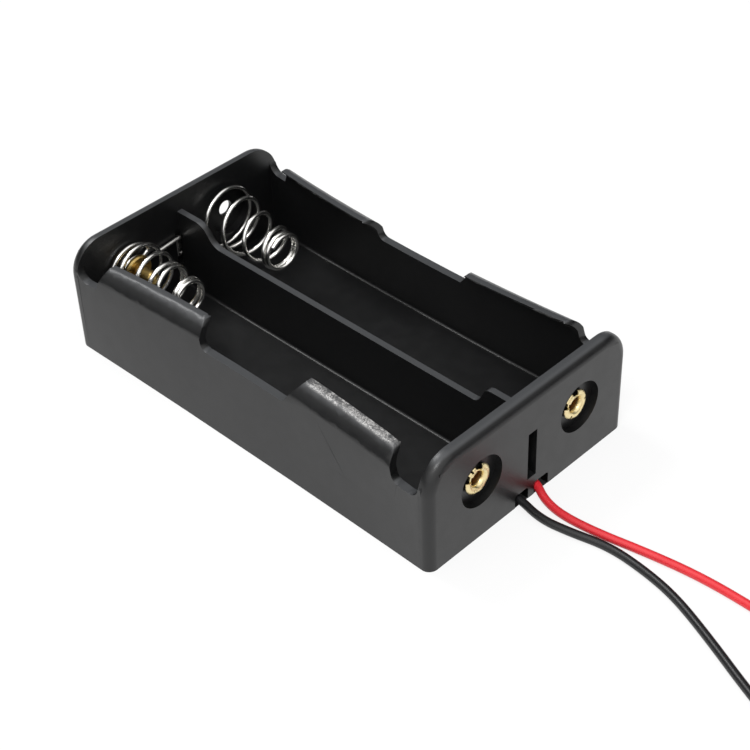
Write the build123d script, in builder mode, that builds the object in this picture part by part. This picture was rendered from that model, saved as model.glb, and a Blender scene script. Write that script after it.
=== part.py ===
"""Holder for two cylindrical cells lying side by side, with conical springs at one end.

Millimetres, +Z up. The origin is the centre of the base. +X is the end where the leads come
out, -Y is the long side nearer the camera, and the two bays are called near (-Y) and far (+Y).
"""

from math import cos, pi, radians, sin, tan
import os

from build123d import *

os.makedirs("parts", exist_ok=True)

# Housing, overall
HOUSING_LENGTH = 76.5
HOUSING_WIDTH = 42.4
END_WALL_HEIGHT = 19.0
END_WALL = 2.05
END_CORNER_RADIUS = 5.3
END_EDGE_RADIUS = 1.5
FLOOR = 1.9
CRISP_RADIUS = 0.2

# Long side walls: they bow inwards at the middle and lean further in at the top
SIDE_WALL = 1.3
BOW_FOOT = 0.3
BOW_CREASE = 1.85
CREASE_HEIGHT = 14.8
LIP_HEIGHT = 17.0
LIP_REACH_MIDDLE = 2.65
LIP_REACH_END = 2.05
LIP_BULGE = 0.3
LIP_INNER = 11.05
LIP_END_GAP = 5.4
LIP_WIRE_GAP = 6.3
LIP_RAMP = 2.8
LIP_END_RAMP = 1.4
LIP_CURVE_RUN = 1.15
LIP_CURVE_RADIUS = 1.3
LIP_TOP_SHARE = 0.7
MIDDLE_CUT_HEIGHT = 13.2
FAR_NOTCH_HEIGHT = 13.4
WIRE_NOTCH_HEIGHT = 12.8
FAR_RAMP_RADIUS = 2.1
WIRE_RAMP_RADIUS = 2.2

# Rib between the bays
RIB = 1.05
RIB_HEIGHT = 12.6
RIB_END_HEIGHT = 15.8
RIB_FAR_GAP = 8.2
RIB_FAR_CURVE_RUN = 2.0
RIB_FAR_CURVE_RADIUS = 3.2
RIB_WIRE_GAP = 7.7
RIB_WIRE_CURVE_RUN = 1.5
RIB_WIRE_CURVE_RADIUS = 1.5

# End walls: recesses round the rivets, upright slots and notches for the leads
CELL_PITCH_INSET = 0.15
CELL_HEIGHT = 10.25
RECESS_RADIUS = 4.18
RECESS_DEPTH = 1.35
SLOT_DROP = 6.45
FAR_SLOT_DROP = 4.65
SLOT_RISE = 2.05
WIRE_SLOT = (-0.8, 1.05)
FAR_SLOT = (-1.45, 1.45)
RED_NOTCH = (0.75, 3.9)
BLACK_NOTCH = (-3.35, -0.5)
NOTCH_HEIGHT = 2.25
NOTCH_CORNER = 0.5
WINDOW_LENGTH = 5.2

# Rivets
RIVET_RADIUS = 1.5
RIVET_BORE = 1.15
RIVET_FIT = 0.05
RIVET_HEAD_RADIUS = 2.8
RIVET_HEAD_RIM = 0.35
RIVET_HEAD_DOME = 0.65
FLARE_RADIUS = 2.45
FLARE_HEIGHT = 0.8
FLARE_RIM = 0.45
FLARE_CROWN = 1.75
FLARE_FLAT = 0.35
FLANGE_RADIUS = 2.55
FLANGE = 0.85
FLANGE_FLOOR = 0.2
FLANGE_LIP = 0.3
CUP_RADIUS = 1.9
STEM_RADIUS = 1.15
STEM_LENGTH = 5.8
FAR_HOLE_RADIUS = 1.35

# Springs and link wire
SPRING_WIRE = 0.75
LINK_WIRE = 0.75
WIRE_GAP = 0.08
WIRE_SIDES = 8
POINTS_PER_TURN = 12
EYE_RADIUS = (RIVET_RADIUS + WIRE_GAP + SPRING_WIRE / 2) / cos(pi / POINTS_PER_TURN)
EYE_TURN = 0.8
LINK_RISE = 0.95
LINK_CROSSING_DROP = 3.4
LINK_SLOPE = 9
LINK_END_GAP = 0.1
NEAR_SPRING_LENGTH = 13.85
NEAR_SPRING_RADIUS = 4.87
NEAR_SPRING_ASIDE = -0.425
NEAR_SPRING_ABOVE = -0.03
NEAR_LEAN = (0.02, 0.06)
NEAR_PHASE = 0.08
NEAR_TURNS = (0, 6.42)
NEAR_STATION_SHARES = (0.033, 0.126, 0.355, 0.58, 0.655, 0.935, 1.0, 1.045)
NEAR_RADIUS_SHARES = (0.906, 1.0, 0.936, 0.8, 0.79, 0.655, 0.608, 0.6)
FAR_SPRING_LENGTH = 16.11
FAR_SPRING_RADIUS = 5.6
FAR_SPRING_ASIDE = -1.765
FAR_SPRING_ABOVE = 0.19
FAR_LEAN = (-0.075, 0.035)
FAR_PHASE = 0.38
FAR_TURNS = (0.33, 6)
FAR_STATION_SHARES = (0.029, 0.093, 0.33, 0.598, 0.888, 0.945, 1.0)
FAR_RADIUS_SHARES = (1.0, 0.943, 0.834, 0.661, 0.579, 0.536, 0.554)

# Contact plates at the wire end
CONTACT = 0.35
CONTACT_DISC = 4.2
CONTACT_ARM = 2.8
CONTACT_LEG = 2.0
CONTACT_BEND = 0.3
TAB_LENGTH = 4.5
RED_LEG = 2.1
BLACK_LEG = -2.2
STRAND_RADIUS = 0.4
STRAND_LENGTH = 2.6
SOLDER_LENGTH = 2.7
SOLDER_WIDTH = 1.9
SOLDER_ROUND = 0.5

# Leads
LEAD = 1.3
COIL_MIDDLE = 7.0
COIL_TURNS = 2
COIL_CHAMFER = 0.35
BARE_END = 5.0
BARE_END_RADIUS = 0.4

HALF_LENGTH = HOUSING_LENGTH / 2
HALF_WIDTH = HOUSING_WIDTH / 2
INNER_END = HALF_LENGTH - END_WALL
LIP_OUTER = INNER_END - LIP_END_GAP
LIP_WIRE_END = INNER_END - LIP_WIRE_GAP
RIB_FAR_CURVE = INNER_END - RIB_FAR_GAP
RIB_WIRE_CURVE = INNER_END - RIB_WIRE_GAP
CELL_PITCH = HALF_WIDTH - CELL_PITCH_INSET
SLOT_TOP = CELL_HEIGHT + SLOT_RISE
RECESS_FLOOR = HALF_LENGTH - RECESS_DEPTH
NEAR_AXIS = -CELL_PITCH / 2
FAR_AXIS = CELL_PITCH / 2
ABOVE = 2 * END_WALL_HEIGHT
TAB_BOTTOM = FLOOR
LEG_ANGLE = radians(LINK_SLOPE)
SLOT_LEG = (FAR_SLOT[0] - RIB / 2) / 2
LINK_HEIGHT = CELL_HEIGHT + LINK_RISE
CROSSING_HEIGHT = CELL_HEIGHT - LINK_CROSSING_DROP
LIP_TOP_END = LIP_CURVE_RADIUS * LIP_TOP_SHARE


def route_radii(points):
    """Radius at each inner corner of a route, as large as its two runs allow."""
    radii = []
    for before, here, after in zip(points, points[1:], points[2:]):
        run_in = Vector(*here) - Vector(*before)
        run_out = Vector(*after) - Vector(*here)
        half_turn = radians(run_in.get_angle(run_out)) / 2
        radii.append(0.45 * min(run_in.length, run_out.length) / tan(half_turn))
    return radii


def axial_plane(y):
    """Plane through a cell's axis: its own x is the radius, its own y runs along +X."""
    return Plane(origin=(0, y, CELL_HEIGHT), x_dir=(0, 0, 1), z_dir=(0, 1, 0))


def upright_plane(x):
    """Plane across the holder at x: its own x runs along +Y, its own y up."""
    return Plane(origin=(x, 0, 0), x_dir=(0, 1, 0), z_dir=(1, 0, 0))


def lengthways_plane(y):
    """Plane along the holder at y: its own x runs along +X, its own y up, facing -Y."""
    return Plane(origin=(0, y, 0), x_dir=(1, 0, 0), z_dir=(0, -1, 0))


def bulged(start, end, bulge):
    """Point that stands off the middle of a chord, to its right as seen from its start."""
    chord = Vector(*end) - Vector(*start)
    middle = (Vector(*start) + Vector(*end)) / 2
    return middle + Vector(chord.Y, -chord.X) / chord.length * bulge


def side_wall_section(x, bow, reach):
    """Section of the far side wall with its lip, bowed in by a share of the full bow."""
    foot = HALF_WIDTH - BOW_FOOT * bow
    crease = HALF_WIDTH - BOW_CREASE * bow
    tip = crease - reach
    outer_lip = (crease, CREASE_HEIGHT), (tip, LIP_HEIGHT)
    inner_lip = (tip - SIDE_WALL, LIP_HEIGHT), (crease - SIDE_WALL, CREASE_HEIGHT)
    with BuildSketch(upright_plane(x)) as section:
        with BuildLine():
            Line((foot, 0), outer_lip[0])
            ThreePointArc(outer_lip[0], bulged(*outer_lip, LIP_BULGE), outer_lip[1])
            Line(outer_lip[1], inner_lip[0])
            ThreePointArc(inner_lip[0], bulged(*inner_lip, -LIP_BULGE), inner_lip[1])
            Line(inner_lip[1], (foot - SIDE_WALL, 0))
            Line((foot - SIDE_WALL, 0), (foot, 0))
        make_face()
    return section.sketch


wall_end = INNER_END + END_WALL / 4
wall_sections = [
    side_wall_section(-wall_end, 0, LIP_REACH_END),
    side_wall_section(0, 1, LIP_REACH_MIDDLE),
    side_wall_section(wall_end, 0, LIP_REACH_END),
]
with BuildPart() as side_walls:
    loft(wall_sections)
    mirror(about=Plane.XZ)
    # Seen from the side: a notch at each end, two lips and the finger gap between them
    with BuildSketch(lengthways_plane(HALF_WIDTH)):
        with BuildLine():
            edge = FilletPolyline(
                (-INNER_END, ABOVE),
                (-INNER_END, FAR_NOTCH_HEIGHT),
                (-LIP_OUTER - LIP_END_RAMP, FAR_NOTCH_HEIGHT),
                (-LIP_OUTER, LIP_HEIGHT),
                (-LIP_INNER + LIP_TOP_END, LIP_HEIGHT),
                (-LIP_INNER + LIP_TOP_END + LIP_CURVE_RUN, MIDDLE_CUT_HEIGHT),
                (LIP_INNER - LIP_RAMP, MIDDLE_CUT_HEIGHT),
                (LIP_INNER, LIP_HEIGHT),
                (LIP_WIRE_END, LIP_HEIGHT),
                (LIP_WIRE_END + LIP_CURVE_RUN, WIRE_NOTCH_HEIGHT),
                (INNER_END, WIRE_NOTCH_HEIGHT),
                (INNER_END, ABOVE),
                radius=[
                    FAR_RAMP_RADIUS,
                    CRISP_RADIUS,
                    CRISP_RADIUS,
                    LIP_CURVE_RADIUS,
                    LIP_CURVE_RADIUS,
                    CRISP_RADIUS,
                    CRISP_RADIUS,
                    LIP_CURVE_RADIUS,
                    LIP_CURVE_RADIUS,
                    WIRE_RAMP_RADIUS,
                ],
            )
            Line(edge @ 1, edge @ 0)
        make_face()
    extrude(amount=HOUSING_WIDTH, mode=Mode.SUBTRACT)

with BuildPart() as wire_end_wall:
    with BuildSketch(upright_plane(INNER_END)) as end_outline:
        with Locations((0, END_WALL_HEIGHT / 2)):
            Rectangle(HOUSING_WIDTH, END_WALL_HEIGHT)
        fillet(end_outline.vertices().group_by(Axis.Y)[-1], END_CORNER_RADIUS)
    extrude(amount=END_WALL)
    outer_rim = wire_end_wall.faces().sort_by(Axis.X)[-1].edges()
    base_edge = outer_rim.sort_by(Axis.Z)[0]
    fillet([edge for edge in outer_rim if edge != base_edge], END_EDGE_RADIUS)

with BuildPart() as housing:
    add(side_walls.part)
    add(wire_end_wall.part)
    mirror(wire_end_wall.part, about=Plane.YZ)
    with Locations((0, 0, FLOOR / 2)):
        Box(2 * INNER_END, HOUSING_WIDTH - 2 * BOW_FOOT - SIDE_WALL, FLOOR)
    # The rib runs low between the cells and rises near both end walls
    with BuildSketch(lengthways_plane(-RIB / 2)):
        with BuildLine():
            rib_top = FilletPolyline(
                (-INNER_END, RIB_END_HEIGHT),
                (-RIB_FAR_CURVE - RIB_FAR_CURVE_RUN, RIB_END_HEIGHT),
                (-RIB_FAR_CURVE, RIB_HEIGHT),
                (RIB_WIRE_CURVE, RIB_HEIGHT),
                (RIB_WIRE_CURVE + RIB_WIRE_CURVE_RUN, RIB_END_HEIGHT),
                (INNER_END, RIB_END_HEIGHT),
                radius=[
                    RIB_FAR_CURVE_RADIUS,
                    RIB_FAR_CURVE_RADIUS,
                    RIB_WIRE_CURVE_RADIUS,
                    RIB_WIRE_CURVE_RADIUS,
                ],
            )
            Polyline(rib_top @ 1, (INNER_END, FLOOR), (-INNER_END, FLOOR), rib_top @ 0)
        make_face()
    extrude(amount=-RIB)
    for slot, drop, end in ((WIRE_SLOT, SLOT_DROP, 1), (FAR_SLOT, FAR_SLOT_DROP, -1)):
        slot_bottom = CELL_HEIGHT - drop
        with BuildSketch(upright_plane(end * INNER_END)):
            with Locations(((slot[0] + slot[1]) / 2, (slot_bottom + SLOT_TOP) / 2)):
                Rectangle(slot[1] - slot[0], SLOT_TOP - slot_bottom)
        extrude(amount=end * END_WALL, mode=Mode.SUBTRACT)
    # Each rivet sits in a recess in the outer face; the empty hole's recess is in the inner face
    for x, inwards, y, hole_radius in (
        (HALF_LENGTH, -1, NEAR_AXIS, RIVET_RADIUS + RIVET_FIT),
        (HALF_LENGTH, -1, FAR_AXIS, RIVET_RADIUS + RIVET_FIT),
        (-HALF_LENGTH, 1, NEAR_AXIS, RIVET_RADIUS + RIVET_FIT),
        (-INNER_END, -1, FAR_AXIS, FAR_HOLE_RADIUS),
    ):
        with BuildSketch(upright_plane(x)):
            with Locations((y, CELL_HEIGHT)):
                Circle(RECESS_RADIUS)
        extrude(amount=inwards * RECESS_DEPTH, mode=Mode.SUBTRACT)
        with BuildSketch(upright_plane(x)):
            with Locations((y, CELL_HEIGHT)):
                Circle(hole_radius)
        extrude(amount=inwards * END_WALL, mode=Mode.SUBTRACT)
    # Notches let the leads in under the wire end wall, to windows below the solder tabs
    for notch in (RED_NOTCH, BLACK_NOTCH):
        with BuildSketch(upright_plane(HALF_LENGTH)) as notch_outline:
            with Locations(((notch[0] + notch[1]) / 2, NOTCH_HEIGHT / 2)):
                Rectangle(notch[1] - notch[0], NOTCH_HEIGHT)
            fillet(notch_outline.vertices().group_by(Axis.Y)[-1], NOTCH_CORNER)
        extrude(amount=-END_WALL, mode=Mode.SUBTRACT)
        with BuildSketch(Plane.XY) as window:
            with Locations((INNER_END - WINDOW_LENGTH / 2, (notch[0] + notch[1]) / 2)):
                Rectangle(WINDOW_LENGTH, notch[1] - notch[0])
        extrude(amount=FLOOR, mode=Mode.SUBTRACT)
housing.part.label = "housing"
export_step(housing.part, "parts/housing.step")
print("housing", round(housing.part.volume, 1), len(housing.part.solids()), housing.part.is_valid)


def flare_line(seat, outwards):
    """Outline of the turned-out end of a rivet, from its bore round to its seat."""
    return Polyline(
        (RIVET_BORE, seat),
        (FLARE_CROWN - FLARE_FLAT / 2, seat + outwards * FLARE_HEIGHT),
        (FLARE_CROWN + FLARE_FLAT / 2, seat + outwards * FLARE_HEIGHT),
        (FLARE_RADIUS, seat + outwards * FLARE_RIM),
        (FLARE_RADIUS, seat),
        (RIVET_RADIUS, seat),
    )


def contact_rivet(y):
    """Rivet at the wire end: a low domed head that the cell's cap meets, hollow behind it."""
    under_head = INNER_END - CONTACT
    rim = under_head - RIVET_HEAD_RIM
    with BuildPart() as rivet:
        with BuildSketch(axial_plane(y)):
            with BuildLine():
                dome = TangentArc(
                    (0, rim - RIVET_HEAD_DOME), (RIVET_HEAD_RADIUS, rim), tangent=(1, 0)
                )
                flare = flare_line(RECESS_FLOOR, 1)
                Polyline(dome @ 0, (0, under_head), (RIVET_BORE, under_head), flare @ 0)
                Polyline(
                    flare @ 1,
                    (RIVET_RADIUS, under_head),
                    (RIVET_HEAD_RADIUS, under_head),
                    dome @ 1,
                )
            make_face()
        revolve(axis=Axis((0, y, CELL_HEIGHT), (1, 0, 0)))
    return rivet.part


def spring_rivet(y, seat, flange_start):
    """Rivet at the far end: a cupped flange that clamps the spring's eye, and a stem in the bay."""
    flange_end = flange_start + FLANGE
    cup_floor = flange_start + FLANGE_FLOOR
    stem_end = -INNER_END + STEM_LENGTH
    with BuildPart() as rivet:
        with BuildSketch(axial_plane(y)):
            with BuildLine():
                tip = TangentArc(
                    (STEM_RADIUS, stem_end - STEM_RADIUS), (0, stem_end), tangent=(0, 1)
                )
                flare = flare_line(seat, -1)
                Polyline(tip @ 1, (0, -INNER_END), (RIVET_BORE, -INNER_END), flare @ 0)
                Polyline(
                    flare @ 1,
                    (RIVET_RADIUS, flange_start),
                    (FLANGE_RADIUS, flange_start),
                    (FLANGE_RADIUS, flange_end - FLANGE_LIP),
                    (FLANGE_RADIUS - FLANGE_LIP, flange_end),
                    (CUP_RADIUS, cup_floor),
                    (STEM_RADIUS, cup_floor),
                    tip @ 0,
                )
            make_face()
        revolve(axis=Axis((0, y, CELL_HEIGHT), (1, 0, 0)))
    return rivet.part


near_contact_rivet = contact_rivet(NEAR_AXIS)
near_contact_rivet.label = "near_contact_rivet"
export_step(near_contact_rivet, "parts/near_contact_rivet.step")

far_contact_rivet = contact_rivet(FAR_AXIS)
far_contact_rivet.label = "far_contact_rivet"
export_step(far_contact_rivet, "parts/far_contact_rivet.step")

# One rivet clamps the near spring's eye; the far spring is held by the wire in the slot
eye_x = -INNER_END + WIRE_GAP + SPRING_WIRE / 2
near_spring_rivet = spring_rivet(NEAR_AXIS, -RECESS_FLOOR, eye_x + SPRING_WIRE / 2 + WIRE_GAP)
near_spring_rivet.label = "near_spring_rivet"
export_step(near_spring_rivet, "parts/near_spring_rivet.step")


def station_value(values, turn):
    """Value at a turn, read smoothly between the values given at whole turns."""
    last = len(values) - 1
    start = min(int(turn), last - 1)
    before = values[max(start - 1, 0)]
    low = values[start]
    high = values[start + 1]
    after = values[min(start + 2, last)]
    low_slope = 0 if (low - before) * (high - low) <= 0 else (high - before) / 2
    high_slope = 0 if (high - low) * (after - high) <= 0 else (after - low) / 2
    low_slope = min(low_slope, 3 * (high - low), key=abs)
    high_slope = min(high_slope, 3 * (high - low), key=abs)
    share = turn - start
    smooth = share * share * (3 - 2 * share)
    return (
        low
        + (high - low) * smooth
        + low_slope * share * (1 - share) ** 2
        - high_slope * share * share * (1 - share)
    )


def eye_points(first_angle):
    """Corners of the near spring's open eye round its rivet."""
    steps = round(EYE_TURN * POINTS_PER_TURN)
    points = []
    for step in range(steps + 1):
        angle = first_angle + 2 * pi * (steps - step + 0.5) / POINTS_PER_TURN
        points.append(
            (eye_x, NEAR_AXIS + EYE_RADIUS * cos(angle), CELL_HEIGHT + EYE_RADIUS * sin(angle))
        )
    return points


def coil_points(centre, lean, phase, turns, stations, radii):
    """Points of one conical spring's coils along +X, between two counts of turns."""
    steps = round((turns[1] - turns[0]) * POINTS_PER_TURN)
    points = []
    for step in range(steps + 1):
        turn = turns[0] + (turns[1] - turns[0]) * step / steps
        along = station_value(stations, turn)
        radius = station_value(radii, turn)
        angle = 2 * pi * (turn + phase)
        points.append(
            (
                -INNER_END + along,
                centre[0] + radius * cos(angle) + lean[0] * along,
                centre[1] + radius * sin(angle) + lean[1] * along,
            )
        )
    return points


def bent_wire(points, wire):
    """Eight-sided wire along straight runs, mitred at each corner, so that it has few faces."""
    corners = [Vector(*point) for point in points]
    headings = [(after - here).normalized() for here, after in zip(corners, corners[1:])]
    start = Plane(origin=corners[0], z_dir=headings[0])
    ring = []
    for side in range(WIRE_SIDES):
        angle = 2 * pi * side / WIRE_SIDES
        offset = start.x_dir * cos(angle) + start.y_dir * sin(angle)
        ring.append(corners[0] + offset * (wire / 2))
    faces = [Face(Wire.make_polygon(ring))]
    for corner, before, after in zip(corners[1:], headings, headings[1:] + headings[-1:]):
        mitre = before + after
        next_ring = [
            point + before * ((corner - point).dot(mitre) / before.dot(mitre)) for point in ring
        ]
        for side in range(WIRE_SIDES):
            outline = [ring[side - 1], ring[side], next_ring[side], next_ring[side - 1]]
            faces.append(Face(Wire.make_polygon(outline)))
        ring = next_ring
    faces.append(Face(Wire.make_polygon(ring)))
    return Solid(Shell(faces))


def wire_along(points, wire):
    """Round wire along straight runs and tangent arcs."""
    with BuildPart() as bent:
        with BuildLine() as path:
            FilletPolyline(*points, radius=route_radii(points))
        route = path.wire()
        with BuildSketch(Plane(origin=route @ 0, z_dir=route % 0)):
            Circle(wire / 2)
        sweep()
    return bent.part, route.length


near_coil = coil_points(
    (NEAR_AXIS + NEAR_SPRING_ASIDE, CELL_HEIGHT + NEAR_SPRING_ABOVE),
    NEAR_LEAN,
    NEAR_PHASE,
    NEAR_TURNS,
    [NEAR_SPRING_LENGTH * share for share in NEAR_STATION_SHARES],
    [NEAR_SPRING_RADIUS * share for share in NEAR_RADIUS_SHARES],
)
near_spring = bent_wire(eye_points(2 * pi * NEAR_PHASE) + near_coil, SPRING_WIRE)
near_spring.label = "near_spring"
export_step(near_spring, "parts/near_spring.step")

# The far spring's wire comes in through the slot beside the rib
far_coil = coil_points(
    (FAR_AXIS + FAR_SPRING_ASIDE, CELL_HEIGHT + FAR_SPRING_ABOVE),
    FAR_LEAN,
    FAR_PHASE,
    FAR_TURNS,
    [FAR_SPRING_LENGTH * share for share in FAR_STATION_SHARES],
    [FAR_SPRING_RADIUS * share for share in FAR_RADIUS_SHARES],
)
far_start = [(-INNER_END, -SLOT_LEG, CROSSING_HEIGHT), (eye_x, -SLOT_LEG, CROSSING_HEIGHT)]
far_spring = bent_wire(far_start + far_coil, SPRING_WIRE)
far_spring.label = "far_spring"
export_step(far_spring, "parts/far_spring.step")

# Link wire: a leg from the near rivet to the slot, then down in the slot and round the rib's end
leg_start = (
    eye_x,
    NEAR_AXIS + EYE_RADIUS * cos(LEG_ANGLE),
    CELL_HEIGHT + EYE_RADIUS * sin(LEG_ANGLE),
)
slot_middle = -INNER_END - END_WALL / 2
link_wire = bent_wire(
    [
        leg_start,
        (eye_x, SLOT_LEG, LINK_HEIGHT),
        (slot_middle, SLOT_LEG, LINK_HEIGHT),
        (slot_middle, SLOT_LEG, CROSSING_HEIGHT),
        (slot_middle, -SLOT_LEG, CROSSING_HEIGHT),
        (-INNER_END - LINK_END_GAP, -SLOT_LEG, CROSSING_HEIGHT),
    ],
    LINK_WIRE,
)
link_wire.label = "link_wire"
export_step(link_wire, "parts/link_wire.step")
for piece in (near_spring, far_spring, link_wire):
    print(piece.label, round(piece.volume, 2), piece.is_valid)


def contact_plate(y, leg_y):
    """Strip on the wire end wall: a disc at the rivet, an arm, a leg down and a solder tab."""
    leg_top = CELL_HEIGHT + CONTACT_ARM / 2
    with BuildPart() as plate:
        with BuildSketch(upright_plane(INNER_END)) as face:
            with Locations((y, CELL_HEIGHT)):
                Circle(CONTACT_DISC)
            with Locations(((y + leg_y) / 2, CELL_HEIGHT)):
                Rectangle(abs(y - leg_y), CONTACT_ARM)
            with Locations((leg_y, (TAB_BOTTOM + leg_top) / 2)):
                Rectangle(CONTACT_LEG, leg_top - TAB_BOTTOM)
            with Locations((y, CELL_HEIGHT)):
                Circle(RIVET_RADIUS + RIVET_FIT, mode=Mode.SUBTRACT)
        extrude(amount=-CONTACT)
        with BuildSketch(Plane.XY.offset(TAB_BOTTOM)):
            with Locations((INNER_END - TAB_LENGTH / 2, leg_y)):
                Rectangle(TAB_LENGTH, CONTACT_LEG)
        extrude(amount=CONTACT)
        bend = plate.edges().filter_by(Axis.Y).group_by(Axis.X)[-1].sort_by(Axis.Z)[0]
        fillet(bend, CONTACT_BEND)
    return plate.part


near_contact_plate = contact_plate(NEAR_AXIS, BLACK_LEG)
near_contact_plate.label = "near_contact_plate"
export_step(near_contact_plate, "parts/near_contact_plate.step")

far_contact_plate = contact_plate(FAR_AXIS, RED_LEG)
far_contact_plate.label = "far_contact_plate"
export_step(far_contact_plate, "parts/far_contact_plate.step")

# Leads: each one comes in under the wire end wall to its tab, and lies on the table outside
RED_ROUTE = [
    (HALF_LENGTH - 3.65, 2.45, 1.2),
    (HALF_LENGTH - 0.5, 1.9, 1.2),
    (HALF_LENGTH + 2.35, 0.25, 0.8),
    (HALF_LENGTH + 6.15, -0.45, 0.65),
    (HALF_LENGTH + 12.15, 0.15, 0.65),
    (HALF_LENGTH + 19.55, 1.75, 0.65),
    (HALF_LENGTH + 27.75, 3.0, 0.65),
    (HALF_LENGTH + 36.75, 3.15, 0.65),
    (HALF_LENGTH + 45.55, 2.6, 0.65),
]
BLACK_ROUTE = [
    (HALF_LENGTH - 3.65, -2.2, 1.2),
    (HALF_LENGTH - 0.35, -2.2, 1.1),
    (HALF_LENGTH + 4.35, -3.05, 0.65),
    (HALF_LENGTH + 8.95, -2.35, 0.65),
    (HALF_LENGTH + 14.95, -0.85, 0.65),
    (HALF_LENGTH + 21.25, -1.2, 0.65),
    (HALF_LENGTH + 27.25, -2.3, 0.65),
    (HALF_LENGTH + 34.75, -5.2, 0.65),
    (HALF_LENGTH + 44.65, -9.55, 0.65),
    (HALF_LENGTH + 54.75, -13.2, 0.65),
]


def lead_pieces(route):
    """Lead, its bare strands at the tab, its put-away coil and the bare end of the coil."""
    tube, length = wire_along(route, LEAD)
    first = Vector(*route[0])
    heading_in = (first - Vector(*route[1])).normalized()
    strand_start = first + Vector(0, 0, LEAD / 2 - STRAND_RADIUS)
    with BuildPart() as strand:
        with BuildSketch(Plane(origin=strand_start, z_dir=heading_in)):
            Circle(STRAND_RADIUS)
        extrude(amount=STRAND_LENGTH)

    last = Vector(*route[-1])
    heading_out = (last - Vector(*route[-2])).normalized()
    to_centre = Vector(-heading_out.Y, heading_out.X)
    outer_radius = COIL_MIDDLE + LEAD * COIL_TURNS / 2
    middle = last + to_centre * outer_radius
    with BuildPart() as coil:
        with BuildSketch(Plane(origin=middle, x_dir=(1, 0, 0), z_dir=(0, -1, 0))):
            with Locations((COIL_MIDDLE, 0)):
                section = Rectangle(LEAD * (COIL_TURNS + 1), LEAD)
            chamfer(section.vertices(), COIL_CHAMFER)
        revolve(axis=Axis(middle, (0, 0, 1)))

    inner_edge = COIL_MIDDLE - LEAD * (COIL_TURNS + 1) / 2
    end_start = middle - to_centre * inner_edge
    with BuildPart() as bare_end:
        with BuildSketch(Plane(origin=end_start, z_dir=heading_out + to_centre)):
            Circle(BARE_END_RADIUS)
        extrude(amount=BARE_END)
    print("lead", round(length, 2), "tube volume", round(tube.volume, 2),
          "section times length", round(pi * (LEAD / 2) ** 2 * length, 2),
          "coil", round(2 * pi * COIL_MIDDLE * COIL_TURNS, 1),
          "radii", [round(radius, 1) for radius in route_radii(route)])
    return tube, strand.part, coil.part, bare_end.part


red_lead, red_strand, red_coil, red_end = lead_pieces(RED_ROUTE)
red_lead.label = "red_lead"
export_step(red_lead, "parts/red_lead.step")
red_strand.label = "red_strand"
export_step(red_strand, "parts/red_strand.step")
red_coil.label = "red_coil"
export_step(red_coil, "parts/red_coil.step")
red_end.label = "red_end"
export_step(red_end, "parts/red_end.step")

black_lead, black_strand, black_coil, black_end = lead_pieces(BLACK_ROUTE)
black_lead.label = "black_lead"
export_step(black_lead, "parts/black_lead.step")
black_strand.label = "black_strand"
export_step(black_strand, "parts/black_strand.step")
black_coil.label = "black_coil"
export_step(black_coil, "parts/black_coil.step")
black_end.label = "black_end"
export_step(black_end, "parts/black_end.step")


def solder_joint(leg_y, strand):
    """Blob of solder round the strands, hanging under a tab."""
    with BuildPart() as solder:
        with BuildSketch(upright_plane(INNER_END - TAB_LENGTH)):
            with Locations((leg_y, TAB_BOTTOM)):
                Circle(SOLDER_WIDTH / 2)
            with Locations((leg_y, TAB_BOTTOM + SOLDER_WIDTH / 2)):
                Rectangle(SOLDER_WIDTH, SOLDER_WIDTH, mode=Mode.SUBTRACT)
        extrude(amount=SOLDER_LENGTH)
        chamfer(solder.edges().filter_by(GeomType.CIRCLE), SOLDER_ROUND)
        add(strand, mode=Mode.SUBTRACT)
    return solder.part


near_solder = solder_joint(BLACK_ROUTE[0][1], black_strand)
near_solder.label = "near_solder"
export_step(near_solder, "parts/near_solder.step")

far_solder = solder_joint(RED_ROUTE[0][1], red_strand)
far_solder.label = "far_solder"
export_step(far_solder, "parts/far_solder.step")
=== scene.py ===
from math import atan2, cos, pi, radians, sin

import bpy
from mathutils import Matrix, Vector


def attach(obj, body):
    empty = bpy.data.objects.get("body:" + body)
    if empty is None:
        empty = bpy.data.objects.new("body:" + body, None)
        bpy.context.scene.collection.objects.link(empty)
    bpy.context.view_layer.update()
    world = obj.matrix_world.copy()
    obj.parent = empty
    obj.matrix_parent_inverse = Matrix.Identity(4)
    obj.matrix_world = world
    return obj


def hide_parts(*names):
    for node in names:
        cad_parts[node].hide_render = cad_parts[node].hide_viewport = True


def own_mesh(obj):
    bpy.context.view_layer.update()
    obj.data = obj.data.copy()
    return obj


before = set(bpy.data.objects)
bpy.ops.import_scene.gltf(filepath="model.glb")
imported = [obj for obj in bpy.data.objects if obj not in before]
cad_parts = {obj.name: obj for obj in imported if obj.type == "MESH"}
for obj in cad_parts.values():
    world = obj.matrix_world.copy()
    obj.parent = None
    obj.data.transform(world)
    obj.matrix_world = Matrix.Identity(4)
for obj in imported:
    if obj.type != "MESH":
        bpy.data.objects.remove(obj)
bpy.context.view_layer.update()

# Millimetres become metres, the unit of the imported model
MM = 0.001

# Sizes repeated from the part's source, in millimetres
HALF_LENGTH = 38.25
HALF_WIDTH = 21.2
INNER_END = 36.2
SIDE_WALL = 1.3
CELL_HEIGHT = 10.25
NEAR_AXIS = -10.525
FAR_AXIS = 10.525
FLOOR = 1.9
RIB = 1.05
RIVET_RADIUS = 1.5
SPRING_WIRE = 0.75
LINK_WIRE = 0.75
WIRE_GAP = 0.08
EYE_TURN = 0.8
SLOT_LEG = -0.9875
VISIBLE_LEG = -0.68
SLOT_MIDDLE = -37.225
LINK_HEIGHT = 11.2
CROSSING_HEIGHT = 6.85
LEAD = 1.3
COIL_MIDDLE = 7.0

# A smooth line cuts the corners of its points, so a ring's points lie a little outside it
EYE_ALLOWANCE = 1.035
COIL_ALLOWANCE = 1.008

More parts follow.
